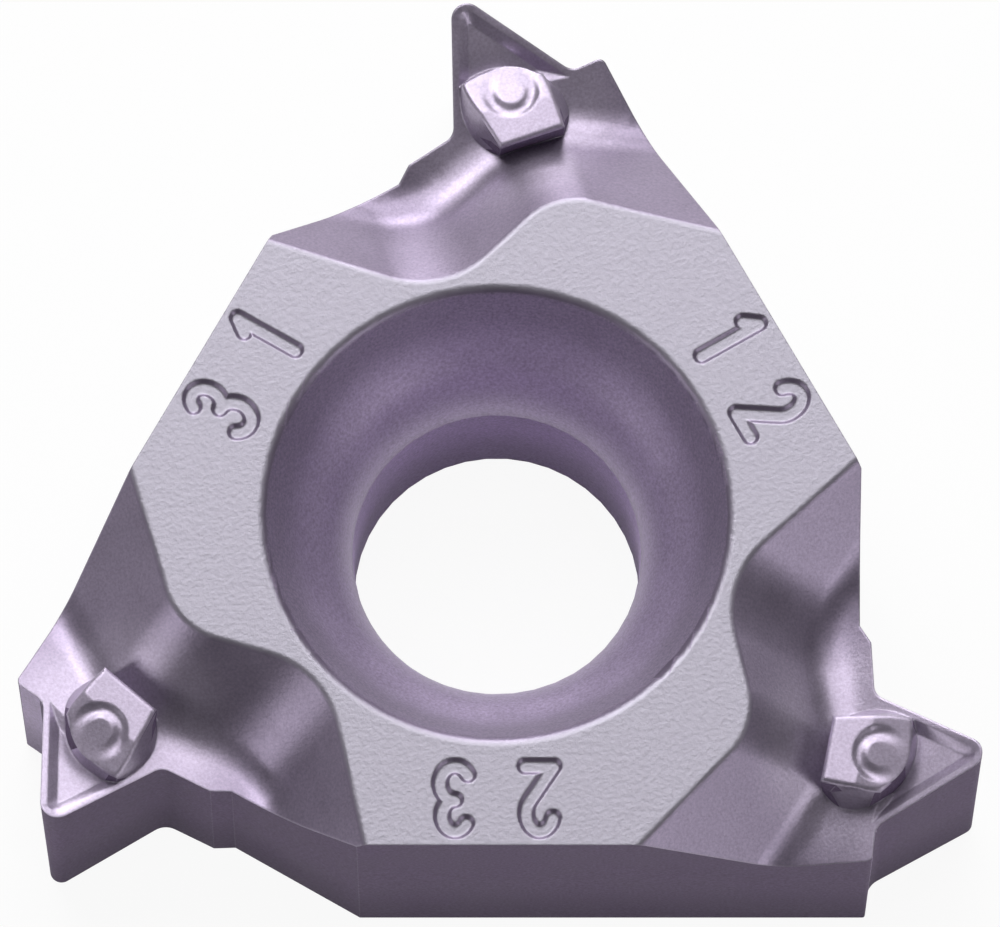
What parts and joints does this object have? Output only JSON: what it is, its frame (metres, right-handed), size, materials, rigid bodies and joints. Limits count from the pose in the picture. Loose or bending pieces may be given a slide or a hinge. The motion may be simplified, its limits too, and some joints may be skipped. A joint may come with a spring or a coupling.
{
  "type": "threading insert",
  "caption": "Flat indexable carbide cutting insert for internal threads, with a pointed thread tooth at each corner, sculpted chip troughs and a countersunk screw hole.",
  "frame": {"origin": "centre of the bottom face, on the axis of the screw hole", "axes": "+Z along the screw hole, out of its countersunk side; one flat side faces -Y and its corner's tooth points to +X; thickness along Z"},
  "size_m": [0.009, 0.0082, 0.003],
  "materials": {
    "coated_carbide": "satin violet-grey hard coating on sintered carbide"
  },
  "bodies": {
    "root": {"threading_insert": "coated_carbide"}
  },
  "joints": []
}
